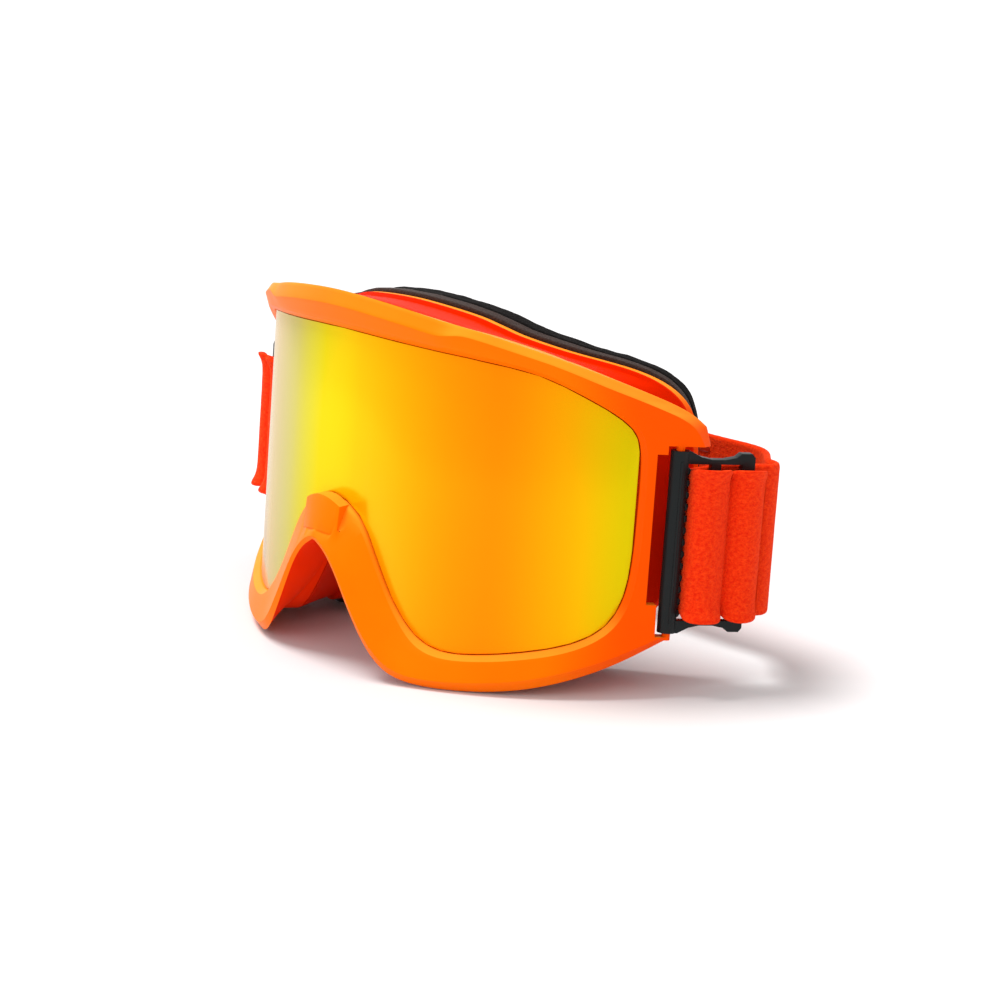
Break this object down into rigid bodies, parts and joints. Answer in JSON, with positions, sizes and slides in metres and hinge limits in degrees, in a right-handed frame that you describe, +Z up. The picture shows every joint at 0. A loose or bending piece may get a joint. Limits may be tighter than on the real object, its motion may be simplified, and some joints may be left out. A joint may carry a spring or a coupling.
{
  "type": "ski goggles",
  "caption": "Ski goggles with a wrap-round orange frame, mirrored curved lens, layered face foam and a wide red elastic head strap held by slotted buckles that swing at the temples.",
  "frame": {"origin": "middle of the underside, on the surface the goggles stand on", "axes": "+X towards the wearer's left side, +Y from the lens towards the wearer's head, +Z up; the goggles stand on the frame's lower edge and the face foam and lean back 5 degrees"},
  "size_m": [0.1908, 0.0958, 0.0967],
  "materials": {
    "orange_shell": "satin moulded polyurethane, lightly textured",
    "red_face_frame": "soft matte moulding",
    "mirrored_lens": "mirror coating that shifts from orange to yellow and green",
    "clear_pane": "clear anti-fog pane with a light amber tint",
    "spacer_foam": "closed-cell foam gasket",
    "brown_foam": "satin dark brown cut foam",
    "black_foam": "open soft foam",
    "black_fleece": "brushed fleece",
    "vent_foam": "open-cell filter foam",
    "black_buckle": "satin moulded plastic",
    "red_webbing": "brushed elastic webbing with a velvety face",
    "grip_silicone": "glossy silicone bead"
  },
  "bodies": {
    "goggles": {"frame": "orange_shell", "face_frame": "red_face_frame", "lens_outer": "mirrored_lens", "lens_inner": "clear_pane", "lens_spacer": "spacer_foam", "foam_base": "brown_foam", "foam_soft": "black_foam", "fleece_lining": "black_fleece", "vent_foam_left": "vent_foam", "vent_foam_right": "vent_foam", "strap_run": "red_webbing", "grip_line_upper": "grip_silicone", "grip_line_lower": "grip_silicone"},
    "buckle_left": {"buckle_left": "black_buckle", "strap_end_left": "red_webbing"},
    "buckle_right": {"buckle_right": "black_buckle", "strap_end_right": "red_webbing"}
  },
  "joints": [
    {"name": "buckle_left_swing", "type": "hinge", "parent": "goggles", "child": "buckle_left", "pos_m": [-0.07031, 0.0057, 0.039], "axis": [0, 0.0872, 0.9962], "range_deg": [-46, 19], "deforming": ["strap_run"]},
    {"name": "buckle_right_swing", "type": "hinge", "parent": "goggles", "child": "buckle_right", "pos_m": [0.08336, 0.0057, 0.039], "axis": [0, -0.0872, -0.9962], "range_deg": [0, 65], "deforming": ["strap_run"]}
  ]
}
